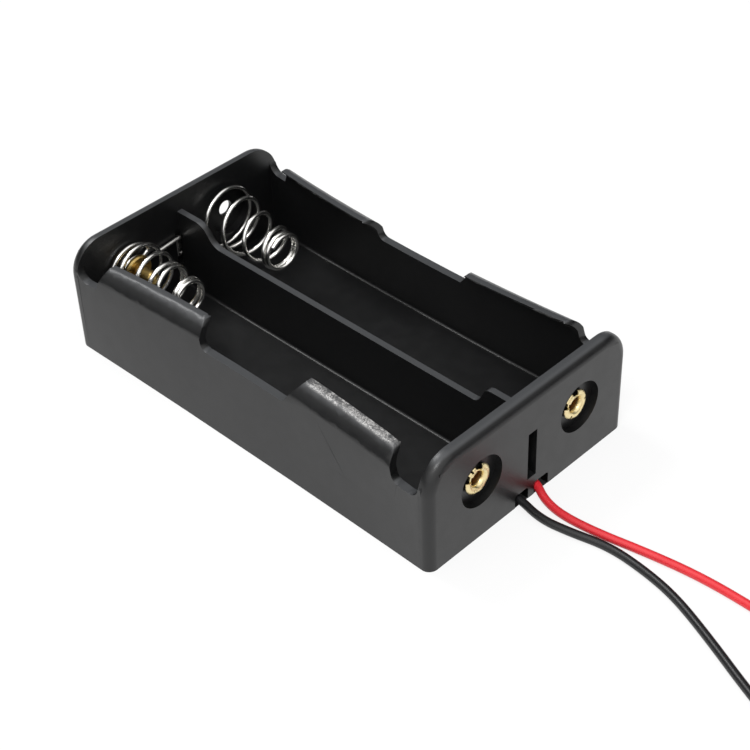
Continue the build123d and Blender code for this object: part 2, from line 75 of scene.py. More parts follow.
EYE_RADIUS = (RIVET_RADIUS + WIRE_GAP + SPRING_WIRE / 2) * EYE_ALLOWANCE
EYE_X = -INNER_END + WIRE_GAP + SPRING_WIRE / 2


def mm(x, y, z):
    return Vector((x, y, z)) * MM


def only(obj):
    """Select this object and nothing else."""
    bpy.ops.object.select_all(action="DESELECT")
    obj.select_set(True)
    bpy.context.view_layer.objects.active = obj


def join(main, extra):
    """Join the extra object into the main one."""
    bpy.ops.object.select_all(action="DESELECT")
    extra.select_set(True)
    main.select_set(True)
    bpy.context.view_layer.objects.active = main
    bpy.ops.object.join()


# Camera: where the photograph was taken from, as its own three axes and its place in metres

camera_data = bpy.data.cameras.new("camera")
camera_data.lens = 83.415
camera_data.sensor_width = 36.0
camera_data.clip_start = 0.01
camera = bpy.data.objects.new("camera", camera_data)
bpy.context.scene.collection.objects.link(camera)
view_right = Vector((0.71672357, 0.69668370, -0.03064550))
view_up = Vector((-0.42876558, 0.47490438, 0.76852190))
view_back = Vector((0.54997036, -0.53767802, 0.63908916))
view_place = Vector((0.15210867, -0.14149679, 0.17365494))
camera.matrix_world = Matrix((
    (view_right.x, view_up.x, view_back.x, view_place.x),
    (view_right.y, view_up.y, view_back.y, view_place.y),
    (view_right.z, view_up.z, view_back.z, view_place.z),
    (0, 0, 0, 1),
))
bpy.context.scene.camera = camera
bpy.context.scene.view_settings.view_transform = "Standard"


# Leads, as points in millimetres

RED_ROUTE = [
    (HALF_LENGTH - 3.65, 2.45, 1.2),
    (HALF_LENGTH - 0.5, 1.9, 1.2),
    (HALF_LENGTH + 2.35, 0.25, 0.8),
    (HALF_LENGTH + 6.15, -0.45, 0.65),
    (HALF_LENGTH + 12.15, 0.15, 0.65),
    (HALF_LENGTH + 19.55, 1.75, 0.65),
    (HALF_LENGTH + 27.75, 3.0, 0.65),
    (HALF_LENGTH + 36.75, 3.15, 0.65),
    (HALF_LENGTH + 45.55, 2.6, 0.65),
]
BLACK_ROUTE = [
    (HALF_LENGTH - 3.65, -2.2, 1.2),
    (HALF_LENGTH - 0.35, -2.2, 1.1),
    (HALF_LENGTH + 4.35, -3.05, 0.65),
    (HALF_LENGTH + 8.95, -2.35, 0.65),
    (HALF_LENGTH + 14.95, -0.85, 0.65),
    (HALF_LENGTH + 21.25, -1.2, 0.65),
    (HALF_LENGTH + 27.25, -2.3, 0.65),
    (HALF_LENGTH + 34.75, -5.2, 0.65),
    (HALF_LENGTH + 44.65, -9.55, 0.65),
    (HALF_LENGTH + 54.75, -13.2, 0.65),
]
COIL_POINTS = 16
COIL_TURNS = 2

# How much wider the turns start, and how far past the last turn their end lies
COIL_SLACK = 0.1
COIL_TAIL = 0.2


def coil_centre(route):
    """Centre of a lead's put-away turns, to the left of its last run."""
    last = Vector(route[-1])
    heading = (last - Vector(route[-2])).normalized()
    to_centre = Vector((-heading.y, heading.x, 0))
    return last + to_centre * (COIL_MIDDLE + LEAD), heading, to_centre


def coil_turns(route):
    """Points of the flat put-away turns, winding inwards from the end of the route."""
    centre, heading, to_centre = coil_centre(route)
    outer = COIL_MIDDLE + LEAD
    points = []
    for step in range(1, COIL_TURNS * COIL_POINTS + 1):
        turn = step / COIL_POINTS
        radius = outer - LEAD * turn + COIL_SLACK * (1 - turn / COIL_TURNS)
        out = -to_centre * cos(2 * pi * turn) + heading * sin(2 * pi * turn)
        points.append(centre + out * radius)
    inner = COIL_MIDDLE - LEAD * (COIL_TURNS + 1) / 2
    inwards = (heading + to_centre).normalized()
    points.append(centre - to_centre * inner + inwards * COIL_TAIL)
    return [tuple(point) for point in points]


def round_wire(name, points, diameter, order=3, resolution=10, sides=4):
    """Smooth round wire, as a curve of one open spline."""
    data = bpy.data.curves.new(name, "CURVE")
    data.dimensions = "3D"
    spline = data.splines.new("NURBS")
    spline.points.add(len(points) - 1)
    for control, point in zip(spline.points, points):
        control.co = (*(Vector(point) * MM), 1)
        control.radius = diameter / 2 * MM
    spline.order_u = order
    spline.use_endpoint_u = True
    spline.resolution_u = resolution
    data.bevel_depth = 1.0
    data.bevel_resolution = sides
    data.use_fill_caps = True
    wire = bpy.data.objects.new(name, data)
    bpy.context.scene.collection.objects.link(wire)
    return wire


def spline_length(wire):
    """Length of a wire's own line, in metres."""
    data = wire.data.copy()
    data.bevel_depth = 0
    bare = bpy.data.objects.new("measure", data)
    mesh = bpy.data.meshes.new_from_object(bare)
    points = [vertex.co.copy() for vertex in mesh.vertices]
    bpy.data.objects.remove(bare)
    bpy.data.meshes.remove(mesh)
    bpy.data.curves.remove(data)
    return sum((after - here).length for here, after in zip(points, points[1:]))


red_wire = round_wire("red_wire", RED_ROUTE + coil_turns(RED_ROUTE), LEAD, sides=6)
black_wire = round_wire("black_wire", BLACK_ROUTE + coil_turns(BLACK_ROUTE), LEAD, sides=6)
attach(red_wire, "holder")
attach(black_wire, "holder")
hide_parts("red_lead", "red_coil")
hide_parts("black_lead", "black_coil")


# Finishes

# Most of a noise's values lie between these two
NOISE_SPAN = (0.3, 0.7)


class Finish:
    """A material built up node by node."""

    def __init__(self, name):
        self.material = bpy.data.materials.new(name)
        self.material.use_nodes = True
        self.nodes = self.material.node_tree.nodes
        self.links = self.material.node_tree.links
        self.shader = self.nodes["Principled BSDF"]
        self.place = self.nodes.new("ShaderNodeTexCoord").outputs["Object"]

    def put(self, value, socket):
        if hasattr(value, "links"):
            self.links.new(value, socket)
        else:
            socket.default_value = value

    def set(self, **values):
        for name, value in values.items():
            self.put(value, self.shader.inputs[name.replace("_", " ")])

    def math(self, kind, first, second=0.0):
        node = self.nodes.new("ShaderNodeMath")
        node.operation = kind
        self.put(first, node.inputs[0])
        self.put(second, node.inputs[1])
        return node.outputs[0]

    def product(self, first, *others):
        for other in others:
            first = self.math("MULTIPLY", first, other)
        return first

    def axes(self, vector):
        """The three numbers of a vector."""
        node = self.nodes.new("ShaderNodeSeparateXYZ")
        self.put(vector, node.inputs[0])
        return node.outputs["X"], node.outputs["Y"], node.outputs["Z"]

    def step(self, value, low, high, start=0.0, end=1.0):
        """Smooth step from start to end as value goes from low to high."""
        node = self.nodes.new("ShaderNodeMapRange")
        node.interpolation_type = "SMOOTHSTEP"
        self.put(value, node.inputs["Value"])
        node.inputs["From Min"].default_value = low
        node.inputs["From Max"].default_value = high
        node.inputs["To Min"].default_value = start
        node.inputs["To Max"].default_value = end
        return node.outputs["Result"]

    def edge(self, value, span):
        """Smooth step from 0 to 1 between two places given in millimetres."""
        return self.step(value, span[0] * MM, span[1] * MM)

    def uneven(self, noise, start, end):
        """Value that goes from start to end with a noise."""
        return self.step(noise, *NOISE_SPAN, start, end)

    def noise(self, size, detail=2.0, rough=0.5, stretch=(1, 1, 1)):
        """Noise whose features are about size millimetres across."""
        mapping = self.nodes.new("ShaderNodeMapping")
        mapping.inputs["Scale"].default_value = stretch
        self.put(self.place, mapping.inputs["Vector"])
        node = self.nodes.new("ShaderNodeTexNoise")
        node.inputs["Scale"].default_value = 1 / (size * MM)
        node.inputs["Detail"].default_value = detail
        node.inputs["Roughness"].default_value = rough
        self.put(mapping.outputs["Vector"], node.inputs["Vector"])
        return node.outputs["Fac"]

    def blend(self, share, first, second):
        node = self.nodes.new("ShaderNodeMix")
        node.data_type = "RGBA"
        self.put(share, node.inputs["Factor"])
        self.put(first, node.inputs[6])
        self.put(second, node.inputs[7])
        return node.outputs[2]

    def bump(self, height, depth, strength=1.0):
        """Relief of that depth in millimetres."""
        node = self.nodes.new("ShaderNodeBump")
        node.inputs["Strength"].default_value = strength
        node.inputs["Distance"].default_value = depth * MM
        self.put(height, node.inputs["Height"])
        self.put(node.outputs["Normal"], self.shader.inputs["Normal"])


def grey(level):
    return (level, level, level, 1.0)


# Soft edges of the moulding's zones in millimetres: where a zone starts and where it is full
SCUFF_SIDE = (-14.0, -15.0)
SCUFF_HEIGHT = (16.6, 16.85)
SCUFF_START = (10.0, 13.0)
SCUFF_END = (30.4, 28.2)
# Height from which level tops get painted light
TOP_LIGHT_HEIGHT = (12.2, 12.5)
# Zone of the leads' notches, painted near black as shade
NOTCH_OUTER = (38.2, 38.0)
NOTCH_INNER = (35.0, 36.0)
NOTCH_SIDES = (5.0, 4.7)
NOTCH_TOP = (3.3, 2.9)

# How far a face has to look up to count as level
LEVEL = (0.75, 0.95)


def moulding_finish():
    """Black moulded plastic: a satin skin with a fine grain.

    It is scuffed along one lip; its level tops are greyer with painted light, and the leads'
    notches darker with painted shade.
    """
    finish = Finish("black_moulding")
    cloud = finish.noise(9.0, 3.0)
    grain = finish.noise(0.22, 3.0, 0.6)
    tone = finish.blend(cloud, (0.0040, 0.0041, 0.0044, 1), (0.0055, 0.0057, 0.0060, 1))
    along, across, height = finish.axes(finish.place)
    lip = finish.product(
        finish.edge(height, SCUFF_HEIGHT),
        finish.edge(across, SCUFF_SIDE),
        finish.product(finish.edge(along, SCUFF_START), finish.edge(along, SCUFF_END)),
    )
    speck = finish.step(finish.noise(0.22, 4.0, 0.7), 0.36, 0.62, 0.35, 1.0)
    worn = finish.step(finish.noise(1.8, 3.0, 0.6), 0.34, 0.52, 0.3, 1.0)
    scuff = finish.product(lip, finish.product(speck, worn))
    tone = finish.blend(scuff, tone, (0.46, 0.45, 0.44, 1))
    # Painted light: level faces high up are painted a lighter grey, as light falling on the tops
    normal = finish.nodes.new("ShaderNodeTexCoord").outputs["Normal"]
    upward = finish.axes(normal)[2]
    top_light = finish.product(
        finish.step(upward, *LEVEL),
        finish.edge(height, TOP_LIGHT_HEIGHT),
        finish.math("SUBTRACT", 1.0, scuff),
    )
    tone = finish.blend(top_light, tone, (0.050, 0.052, 0.055, 1))
    # Painted shade: the leads' notches are painted near black, as the shadow in those pockets
    notch_shade = finish.product(
        finish.edge(along, NOTCH_OUTER),
        finish.edge(finish.math("ABSOLUTE", across), NOTCH_SIDES),
        finish.edge(height, NOTCH_TOP),
        finish.edge(along, NOTCH_INNER),
    )
    tone = finish.blend(notch_shade, tone, grey(0.0008))
    rough = finish.uneven(finish.noise(2.2, 2.0), 0.345, 0.385)
    finish.set(Base_Color=tone, Roughness=rough, IOR=1.5)
    finish.bump(grain, 0.010, 0.6)
    return finish.material


def spring_finish():
    """Bright plated spring wire, faintly uneven."""
    finish = Finish("plated_spring_wire")
    tone = finish.blend(finish.noise(1.2, 3.0), (0.93, 0.92, 0.89, 1), (0.84, 0.83, 0.80, 1))
    rough = finish.uneven(finish.noise(1.5, 2.0), 0.20, 0.27)
    finish.set(Base_Color=tone, Metallic=1.0, Roughness=rough)
    finish.bump(finish.noise(0.5, 2.0), 0.002, 0.3)
    return finish.material


def link_finish():
    """Bare wire, duller and less even than the springs'."""
    finish = Finish("bare_link_wire")
    tone = finish.blend(finish.noise(0.8, 3.0), (0.66, 0.65, 0.62, 1), (0.48, 0.47, 0.45, 1))
    rough = finish.uneven(finish.noise(0.4, 4.0), 0.24, 0.4)
    finish.set(Base_Color=tone, Metallic=1.0, Roughness=rough)
    finish.bump(finish.noise(0.5, 2.0), 0.002, 0.3)
    return finish.material


def brass_finish(name, pale, deep, brown, low, high):
    """Brass that is brown at x below low and pale above high."""
    finish = Finish(name)
    along = finish.axes(finish.place)[0]
    tone = finish.blend(finish.noise(0.9, 3.0), pale, deep)
    worn = finish.step(finish.noise(0.9, 3.0, 0.6), 0.5, 0.8)
    tone = finish.blend(finish.product(worn, 0.2), tone, brown)
    tone = finish.blend(finish.edge(along, (low, high)), brown, tone)
    rough = finish.uneven(finish.noise(0.5, 3.0), 0.32, 0.42)
    finish.set(Base_Color=tone, Metallic=1.0, Roughness=rough)
    finish.bump(finish.noise(0.6, 2.0), 0.006, 0.4)
    return finish.material


def plate_finish():
    """Plated contact strip with fine rolling lines."""
    finish = Finish("rolled_contact_strip")
    lines = finish.noise(0.5, 3.0, 0.6, (1, 0.05, 1))
    tone = finish.blend(lines, (0.74, 0.73, 0.70, 1), (0.60, 0.59, 0.56, 1))
    finish.set(Base_Color=tone, Metallic=1.0, Roughness=finish.uneven(lines, 0.24, 0.38))
    finish.bump(lines, 0.004, 0.6)
    return finish.material


def solder_finish():
    """Tin solder: bright, slightly frosted."""
    finish = Finish("tin_solder")
    frost = finish.noise(0.25, 4.0, 0.6)
    tone = finish.blend(frost, (0.70, 0.71, 0.72, 1), (0.52, 0.53, 0.54, 1))
    finish.set(Base_Color=tone, Metallic=1.0, Roughness=finish.uneven(frost, 0.22, 0.42))
    finish.bump(frost, 0.02, 0.6)
    return finish.material


def insulation_finish(name, first, second, smooth, dull):
    """Soft glossy lead insulation, faintly uneven."""
    finish = Finish(name)
    tone = finish.blend(finish.noise(2.5, 3.0), first, second)
    rough = finish.uneven(finish.noise(0.9, 3.0), smooth, dull)
    finish.set(Base_Color=tone, Roughness=rough, IOR=1.5)
    finish.bump(finish.noise(0.3, 3.0), 0.008, 0.5)
    return finish.material


moulding = moulding_finish()
plated_wire = spring_finish()
bare_wire = link_finish()
contact_brass = brass_finish(
    "pale_brass",
    pale=(0.94, 0.82, 0.50, 1), deep=(0.86, 0.70, 0.36, 1), brown=(0.30, 0.17, 0.06, 1),
    low=36.3, high=37.35,
)
spring_brass = brass_finish(
    "golden_brass",
    pale=(0.62, 0.45, 0.17, 1), deep=(0.52, 0.36, 0.12, 1), brown=(0.26, 0.15, 0.05, 1),
    low=-35.6, high=-35.1,
)
strip = plate_finish()
solder = solder_finish()
red_skin = insulation_finish(
    "red_insulation",
    first=(0.62, 0.018, 0.028, 1), second=(0.72, 0.030, 0.040, 1),
    smooth=0.32, dull=0.44,
)
black_skin = insulation_finish(
    "black_insulation",
    first=(0.006, 0.006, 0.007, 1), second=(0.010, 0.010, 0.011, 1),
    smooth=0.34, dull=0.42,
)


def dress(obj, material):
    obj.data.materials.clear()
    obj.data.materials.append(material)


dress(red_wire, red_skin)
dress(black_wire, black_skin)


# Housing

# How near two points lie, in millimetres, and how alike two faces look, in degrees, to be joined
SAME_POINT = 0.002
SAME_PLANE = 0.6

# Edges shorter than this are taken out, in millimetres
SHORT_EDGE = 0.01

# Edges sharper than these angles in degrees are rounded, or keep a hard shading
ROUNDED_FROM = 32
HARD_FROM = 38
SOFT_HARD_FROM = 50


def eased_copy(node, name, width, segments, shape=None):
    """Copy of a rigid node with its facets joined and its sharp edges rounded.

    Short edges hold the rounding back. On the housing it comes out at a few thousandths of a
    millimetre: too small to see, but it keeps the shading of neighbouring faces apart.
    """
    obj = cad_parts[node].copy()
    obj.data = obj.data.copy()
    obj.name = name
    for key in list(obj.keys()):
        del obj[key]
    bpy.context.scene.collection.objects.link(obj)
    only(obj)
    bpy.ops.object.mode_set(mode="EDIT")
    bpy.ops.mesh.select_all(action="SELECT")
    bpy.ops.mesh.remove_doubles(threshold=SAME_POINT * MM)
    bpy.ops.mesh.dissolve_limited(angle_limit=radians(SAME_PLANE))
    bpy.ops.mesh.dissolve_degenerate(threshold=SHORT_EDGE * MM)
    bpy.ops.mesh.select_all(action="DESELECT")
    bpy.ops.object.mode_set(mode="OBJECT")
    if shape:
        shape(obj)
    bevel = obj.modifiers.new("eased", "BEVEL")
    bevel.width = width * MM
    bevel.segments = segments
    bevel.limit_method = "ANGLE"
    bevel.angle_limit = radians(ROUNDED_FROM)
    bevel.miter_outer = "MITER_ARC"
    bpy.ops.object.modifier_apply(modifier=bevel.name)
    bpy.ops.object.shade_smooth_by_angle(angle=radians(HARD_FROM))
    even = obj.modifiers.new("even", "WEIGHTED_NORMAL")
    # At 100 the largest face at a point decides its shading
    even.weight = 100
    even.keep_sharp = True
    bpy.ops.object.modifier_apply(modifier=even.name)
    return obj


# The bowed side walls and their lips: sizes repeated from the part's source
WALL_END = 36.7
BOW_CREASE = 1.85
LIP_HEIGHT = 17.0
LIP_REACH_END = 2.05
LIP_REACH_GAIN = 0.6

# What is made finer here: the lips' tops, and the feet of the rib and of the far wall
LIP_THINNING = 0.5
TOP_BAND = 0.1
FOOT_ROUND = 0.55
FOOT_STEPS = 5
FOOT_END = 31.05
FAR_FOOT = (19.0, 20.0)
ON_LINE = 0.02

# The far end's slot, and the dark sheet of painted shade that closes it
SLOT = ((-1.45, 1.45), (5.6, 12.3))
SHEET_THICKNESS = 0.45
SHEET_INSET = 0.1
SHEET_OVERLAP = 0.1
SHEET_EDGE = 0.04


def lip_middle(x):
    """Distance from the middle plane to the middle of a lip's top edge."""
    bow = 1 - (x / WALL_END) ** 2
    return HALF_WIDTH - BOW_CREASE * bow - (LIP_REACH_END + LIP_REACH_GAIN * bow) - SIDE_WALL / 2


def shape_housing(obj):
    """Thin the lips towards their tops and round two feet where walls meet the bays' floors."""
    vertices = obj.data.vertices
    for side in (-1, 1):
        for vertex in vertices:
            place = vertex.co / MM
            vertex.select = (
                LIP_HEIGHT - TOP_BAND < place.z < LIP_HEIGHT + TOP_BAND
                and 0 < place.y * side < lip_middle(place.x)
            )
        bpy.ops.object.mode_set(mode="EDIT")
        bpy.ops.mesh.select_mode(type="VERT")
        bpy.ops.transform.translate(value=mm(0, side * LIP_THINNING, 0))
        bpy.ops.mesh.select_all(action="DESELECT")
        bpy.ops.object.mode_set(mode="OBJECT")
    for edge in obj.data.edges:
        ends = [vertices[index].co / MM for index in edge.vertices]
        edge.select = all(
            abs(end.z - FLOOR) < ON_LINE and end.x < FOOT_END
            and (abs(end.y + RIB / 2) < ON_LINE or FAR_FOOT[0] < end.y < FAR_FOOT[1])
            for end in ends
        )
    bpy.ops.object.mode_set(mode="EDIT")
    bpy.ops.mesh.select_mode(type="EDGE")
    bpy.ops.mesh.bevel(offset=FOOT_ROUND * MM, segments=FOOT_STEPS, affect="EDGES")
    bpy.ops.mesh.select_all(action="DESELECT")
    bpy.ops.object.mode_set(mode="OBJECT")


def slot_shade_sheet():
    """Thin dark sheet of painted shade that closes the far end's slot on its outer side: no light
    shows through it.
    """
    bpy.ops.object.select_all(action="DESELECT")
    centre = mm(-HALF_LENGTH + SHEET_INSET, *(sum(span) / 2 for span in SLOT))
    bpy.ops.mesh.primitive_plane_add(size=MM, location=centre, rotation=(0, pi / 2, 0))
    sheet = bpy.context.active_object
    sheet.name = "slot_shade_sheet"
    bpy.ops.object.transform_apply(location=True, rotation=True, scale=True)
    bpy.ops.object.mode_set(mode="EDIT")
    bpy.ops.mesh.select_all(action="SELECT")
    bpy.ops.transform.resize(
        value=(1, *(high - low + SHEET_OVERLAP for low, high in SLOT)),
        center_override=centre,
    )
    bpy.ops.mesh.extrude_region_move(TRANSFORM_OT_translate={"value": mm(SHEET_THICKNESS, 0, 0)})
    bpy.ops.mesh.select_all(action="SELECT")
    bpy.ops.mesh.normals_make_consistent(inside=False)
    bpy.ops.mesh.bevel(offset=SHEET_EDGE * MM, segments=2, affect="EDGES")
    bpy.ops.object.mode_set(mode="OBJECT")
    return sheet


housing = eased_copy("housing", "housing_shell", width=0.11, segments=2, shape=shape_housing)
# Painted shade: a dark sheet closes the slot, so no light shows through it
join(housing, slot_shade_sheet())
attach(housing, "holder")
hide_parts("housing")
dress(housing, moulding)


# Contact strips, solder, strands and bare ends

for node, material, slot, width in (
    ("near_contact_plate", strip, "contact_plate", 0.05),
    ("far_contact_plate", strip, "contact_plate", 0.05),
    ("near_solder", solder, "solder", 0.16),
    ("far_solder", solder, "solder", 0.16),
):
    piece = eased_copy(node, node + "_eased", width, segments=2)
    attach(piece, "holder")
    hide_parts(node)
    dress(piece, material)
for node in ("red_strand", "black_strand", "red_end", "black_end"):
    dress(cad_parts[node], solder)


# Rivets

# The turned-out end of a hollow rivet: x and radius of its middle line, from the cut outwards
FLARE_LINE = (
    (36.6, 1.32), (37.0, 1.33), (37.28, 1.4), (37.48, 1.56), (37.56, 1.78),
    (37.54, 2.0), (37.44, 2.2), (37.28, 2.38),
)
FLARE_STEPS = 96
FLARE_WALL = 0.26
FLARE_EDGE = 0.05
FLARE_ROUNDED_FROM = 40
CRUMPLE_DEPTH = 0.3
CRUMPLE_SIZE = 2.4

# Only points this near to the cut's plane are moved onto it, in millimetres
CUT_SNAP = 0.001


def rivet_shank(node, name):
    """Head and shank of a contact rivet, cut off where its end is split."""
    shank = eased_copy(node, name, width=0.03, segments=2)
    only(shank)
    bpy.ops.object.mode_set(mode="EDIT")
    bpy.ops.mesh.select_all(action="SELECT")
    bpy.ops.mesh.bisect(
        plane_co=mm(FLARE_LINE[0][0], 0, 0), plane_no=(1, 0, 0), threshold=CUT_SNAP * MM,
        clear_outer=True, use_fill=False,
    )
    bpy.ops.mesh.bridge_edge_loops()
    bpy.ops.object.mode_set(mode="OBJECT")
    bpy.ops.object.shade_smooth_by_angle(angle=radians(HARD_FROM))
    return shank


def split_flare(name, y, cuts):
    """Turned-out end of a hollow rivet, split into uneven petals.

    Each cut has a direction and a width in degrees, and the radius at which it starts.
    """
    bpy.ops.object.select_all(action="DESELECT")
    x, radius = FLARE_LINE[0]
    bpy.ops.mesh.primitive_circle_add(
        vertices=FLARE_STEPS, radius=radius * MM, fill_type="NOTHING",
        location=mm(x, y, CELL_HEIGHT), rotation=(0, pi / 2, 0),
    )
    flare = bpy.context.active_object
    flare.name = name
    bpy.ops.object.transform_apply(location=True, rotation=True, scale=True)
    bpy.ops.object.mode_set(mode="EDIT")
    bpy.ops.mesh.select_all(action="SELECT")
    for next_x, next_radius in FLARE_LINE[1:]:
        forward = ((next_x - x) * MM, 0, 0)
        bpy.ops.mesh.extrude_region_move(TRANSFORM_OT_translate={"value": forward})
        growth = next_radius / radius
        bpy.ops.transform.resize(
            value=(1, growth, growth), center_override=mm(next_x, y, CELL_HEIGHT)
        )
        x, radius = next_x, next_radius
    bpy.ops.mesh.select_all(action="DESELECT")
    bpy.ops.object.mode_set(mode="OBJECT")
    for face in flare.data.polygons:
        out = Vector((0, face.center.y - y * MM, face.center.z - CELL_HEIGHT * MM))
        angle = atan2(out.z, out.y) * 180 / pi
        for middle, width, root in cuts:
            off = abs((angle - middle + 180) % 360 - 180)
            if off < width / 2 and out.length > root * MM:
                face.select = True
    bpy.ops.object.mode_set(mode="EDIT")
    bpy.ops.mesh.delete(type="FACE")
    bpy.ops.object.mode_set(mode="OBJECT")
    crumple = bpy.data.textures.new(name + "_crumple", "CLOUDS")
    crumple.noise_scale = CRUMPLE_SIZE * MM
    crumple.noise_depth = 1
    push = flare.modifiers.new("crumpled", "DISPLACE")
    push.texture = crumple
    push.texture_coords = "LOCAL"
    push.strength = CRUMPLE_DEPTH * MM
    bpy.ops.object.modifier_apply(modifier=push.name)
    wall = flare.modifiers.new("wall", "SOLIDIFY")
    wall.thickness = FLARE_WALL * MM
    wall.offset = 0
    bpy.ops.object.modifier_apply(modifier=wall.name)
    soft = flare.modifiers.new("softened", "BEVEL")
    soft.width = FLARE_EDGE * MM
    soft.segments = 2
    soft.limit_method = "ANGLE"
    soft.angle_limit = radians(FLARE_ROUNDED_FROM)
    bpy.ops.object.modifier_apply(modifier=soft.name)
    bpy.ops.object.shade_smooth_by_angle(angle=radians(SOFT_HARD_FROM))
    return flare


def contact_rivet(node, name, y, cuts):
    shank = rivet_shank(node, name)
    join(shank, split_flare(name + "_flare", y, cuts))
    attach(shank, "holder")
    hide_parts(node)
    dress(shank, contact_brass)


contact_rivet(
    "near_contact_rivet", "near_split_rivet", NEAR_AXIS,
    ((86, 34, 1.45), (120, 8, 1.9), (155, 30, 1.42), (242, 7, 1.6), (290, 6, 1.95), (16, 4, 2.1)),
)
contact_rivet(
    "far_contact_rivet", "far_split_rivet", FAR_AXIS,
    ((94, 32, 1.5), (160, 26, 1.42), (239, 12, 1.7), (288, 6, 1.9), (4, 8, 1.8)),
)

cup_rivet = eased_copy("near_spring_rivet", "cupped_spring_rivet", width=0.08, segments=3)
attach(cup_rivet, "holder")
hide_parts("near_spring_rivet")
dress(cup_rivet, spring_brass)


# Springs


def station_value(values, turn):
    """Value at a turn, read smoothly between the values given at whole turns."""
    last = len(values) - 1
    start = min(int(turn), last - 1)
    before = values[max(start - 1, 0)]
    low = values[start]
    high = values[start + 1]
    after = values[min(start + 2, last)]
    low_slope = 0 if (low - before) * (high - low) <= 0 else (high - before) / 2
    high_slope = 0 if (high - low) * (after - high) <= 0 else (after - low) / 2
    low_slope = min(low_slope, 3 * (high - low), key=abs)
    high_slope = min(high_slope, 3 * (high - low), key=abs)
    share = turn - start
    smooth = share * share * (3 - 2 * share)
    return (
        low
        + (high - low) * smooth
        + low_slope * share * (1 - share) ** 2
        - high_slope * share * share * (1 - share)
    )


SPRING_POINTS = 20


def eye_line(phase):
    """Points of the near spring's open eye round its rivet."""
    points = []
    steps = round(EYE_TURN * SPRING_POINTS)
    for step in range(steps + 1):
        angle = 2 * pi * (phase + (steps - step + 0.5) / SPRING_POINTS)
        points.append((
            EYE_X, NEAR_AXIS + EYE_RADIUS * cos(angle), CELL_HEIGHT + EYE_RADIUS * sin(angle)
        ))
    return points


def coil_line(centre, lean, phase, turns, stations, radii):
    """Points of a conical spring's coils along +X, between two counts of turns."""
    steps = round((turns[1] - turns[0]) * SPRING_POINTS)
    points = []
    for step in range(steps + 1):
        turn = turns[0] + (turns[1] - turns[0]) * step / steps
        along = station_value(stations, turn)
        radius = station_value(radii, turn) * COIL_ALLOWANCE
        angle = 2 * pi * (turn + phase)
        points.append((
            -INNER_END + along,
            centre[0] + radius * cos(angle) + lean[0] * along,
            centre[1] + radius * sin(angle) + lean[1] * along,
        ))
    return points


def wire_mesh(wire):
    """Make a wire a mesh, smooth along it and hard at its cut ends."""
    only(wire)
    bpy.ops.object.convert(target="MESH")
    bpy.ops.object.shade_smooth_by_angle(angle=radians(SOFT_HARD_FROM))
    return wire


def coil_spring(name, node, line):
    spring = wire_mesh(
        round_wire(name, line, SPRING_WIRE * WIRE_SHARE, order=4, resolution=3, sides=4)
    )
    dress(spring, plated_wire)
    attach(spring, node)
    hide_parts(node)
    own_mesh(spring)


# A spring's wire is drawn at this share of its size in the part's source
WIRE_SHARE = 0.94

# How far a spring lies along its axis and how wide it is, at each whole turn
NEAR_LENGTH = 13.85
NEAR_RADIUS = 4.87
NEAR_STATIONS = [
    NEAR_LENGTH * share for share in (0.033, 0.126, 0.355, 0.58, 0.655, 0.935, 1.0, 1.045)
]
NEAR_RADII = [
    NEAR_RADIUS * share for share in (0.906, 1.0, 0.936, 0.8, 0.79, 0.655, 0.608, 0.6)
]
FAR_LENGTH = 16.11
FAR_RADIUS = 5.6
FAR_STATIONS = [
    FAR_LENGTH * share for share in (0.029, 0.093, 0.33, 0.598, 0.888, 0.945, 1.0)
]
FAR_RADII = [
    FAR_RADIUS * share for share in (1.0, 0.943, 0.834, 0.661, 0.579, 0.536, 0.554)
]

# Where the near spring starts, as a share of a turn
NEAR_PHASE = 0.08

coil_spring(
    "near_coil_spring", "near_spring",
    eye_line(NEAR_PHASE) + coil_line(
        centre=(NEAR_AXIS - 0.425, CELL_HEIGHT - 0.03), lean=(0.02, 0.06),
        phase=NEAR_PHASE, turns=(0, 6.42), stations=NEAR_STATIONS, radii=NEAR_RADII,
    ),
)
coil_spring(
    "far_coil_spring", "far_spring",
    [(-INNER_END, -SLOT_LEG, CROSSING_HEIGHT), (EYE_X, -SLOT_LEG, CROSSING_HEIGHT)] + coil_line(
        centre=(FAR_AXIS - 1.765, CELL_HEIGHT + 0.19), lean=(-0.075, 0.035),
        phase=0.38, turns=(0.33, 6), stations=FAR_STATIONS, radii=FAR_RADII,
    ),
)


def bent_line(corners, reach):
    """Points of a wire bent at its corners, with an extra point close to both sides of each."""
    points = [corners[0]]
    for before, here, after in zip(corners, corners[1:], corners[2:]):
        back = Vector(before) - Vector(here)
        ahead = Vector(after) - Vector(here)
        points.append(tuple(Vector(here) + back.normalized() * min(reach, back.length / 3)))
        points.append(here)
        points.append(tuple(Vector(here) + ahead.normalized() * min(reach, ahead.length / 3)))
    points.append(corners[-1])
    return points


# The link wire: where it leaves the near spring's eye, how far it drops on its way into the slot,
# how far it runs on into the wall and how near to its bends the extra points lie
LINK_START = radians(9)
LINK_DROP = 0.9
LINK_TAIL = 0.1
BEND_REACH = 0.5

link_line = bent_line([
    (
        EYE_X,
        NEAR_AXIS + EYE_RADIUS * cos(LINK_START),
        CELL_HEIGHT + EYE_RADIUS * sin(LINK_START),
    ),
    (EYE_X, SLOT_LEG, LINK_HEIGHT),
    (SLOT_MIDDLE, VISIBLE_LEG, LINK_HEIGHT - LINK_DROP),
    (SLOT_MIDDLE, VISIBLE_LEG, CROSSING_HEIGHT),
    (SLOT_MIDDLE, -SLOT_LEG, CROSSING_HEIGHT),
    (-INNER_END - LINK_TAIL, -SLOT_LEG, CROSSING_HEIGHT),
], BEND_REACH)
link = wire_mesh(round_wire("bent_link_wire", link_line, LINK_WIRE, resolution=6, sides=4))
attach(link, "holder")
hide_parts("link_wire")
dress(link, bare_wire)


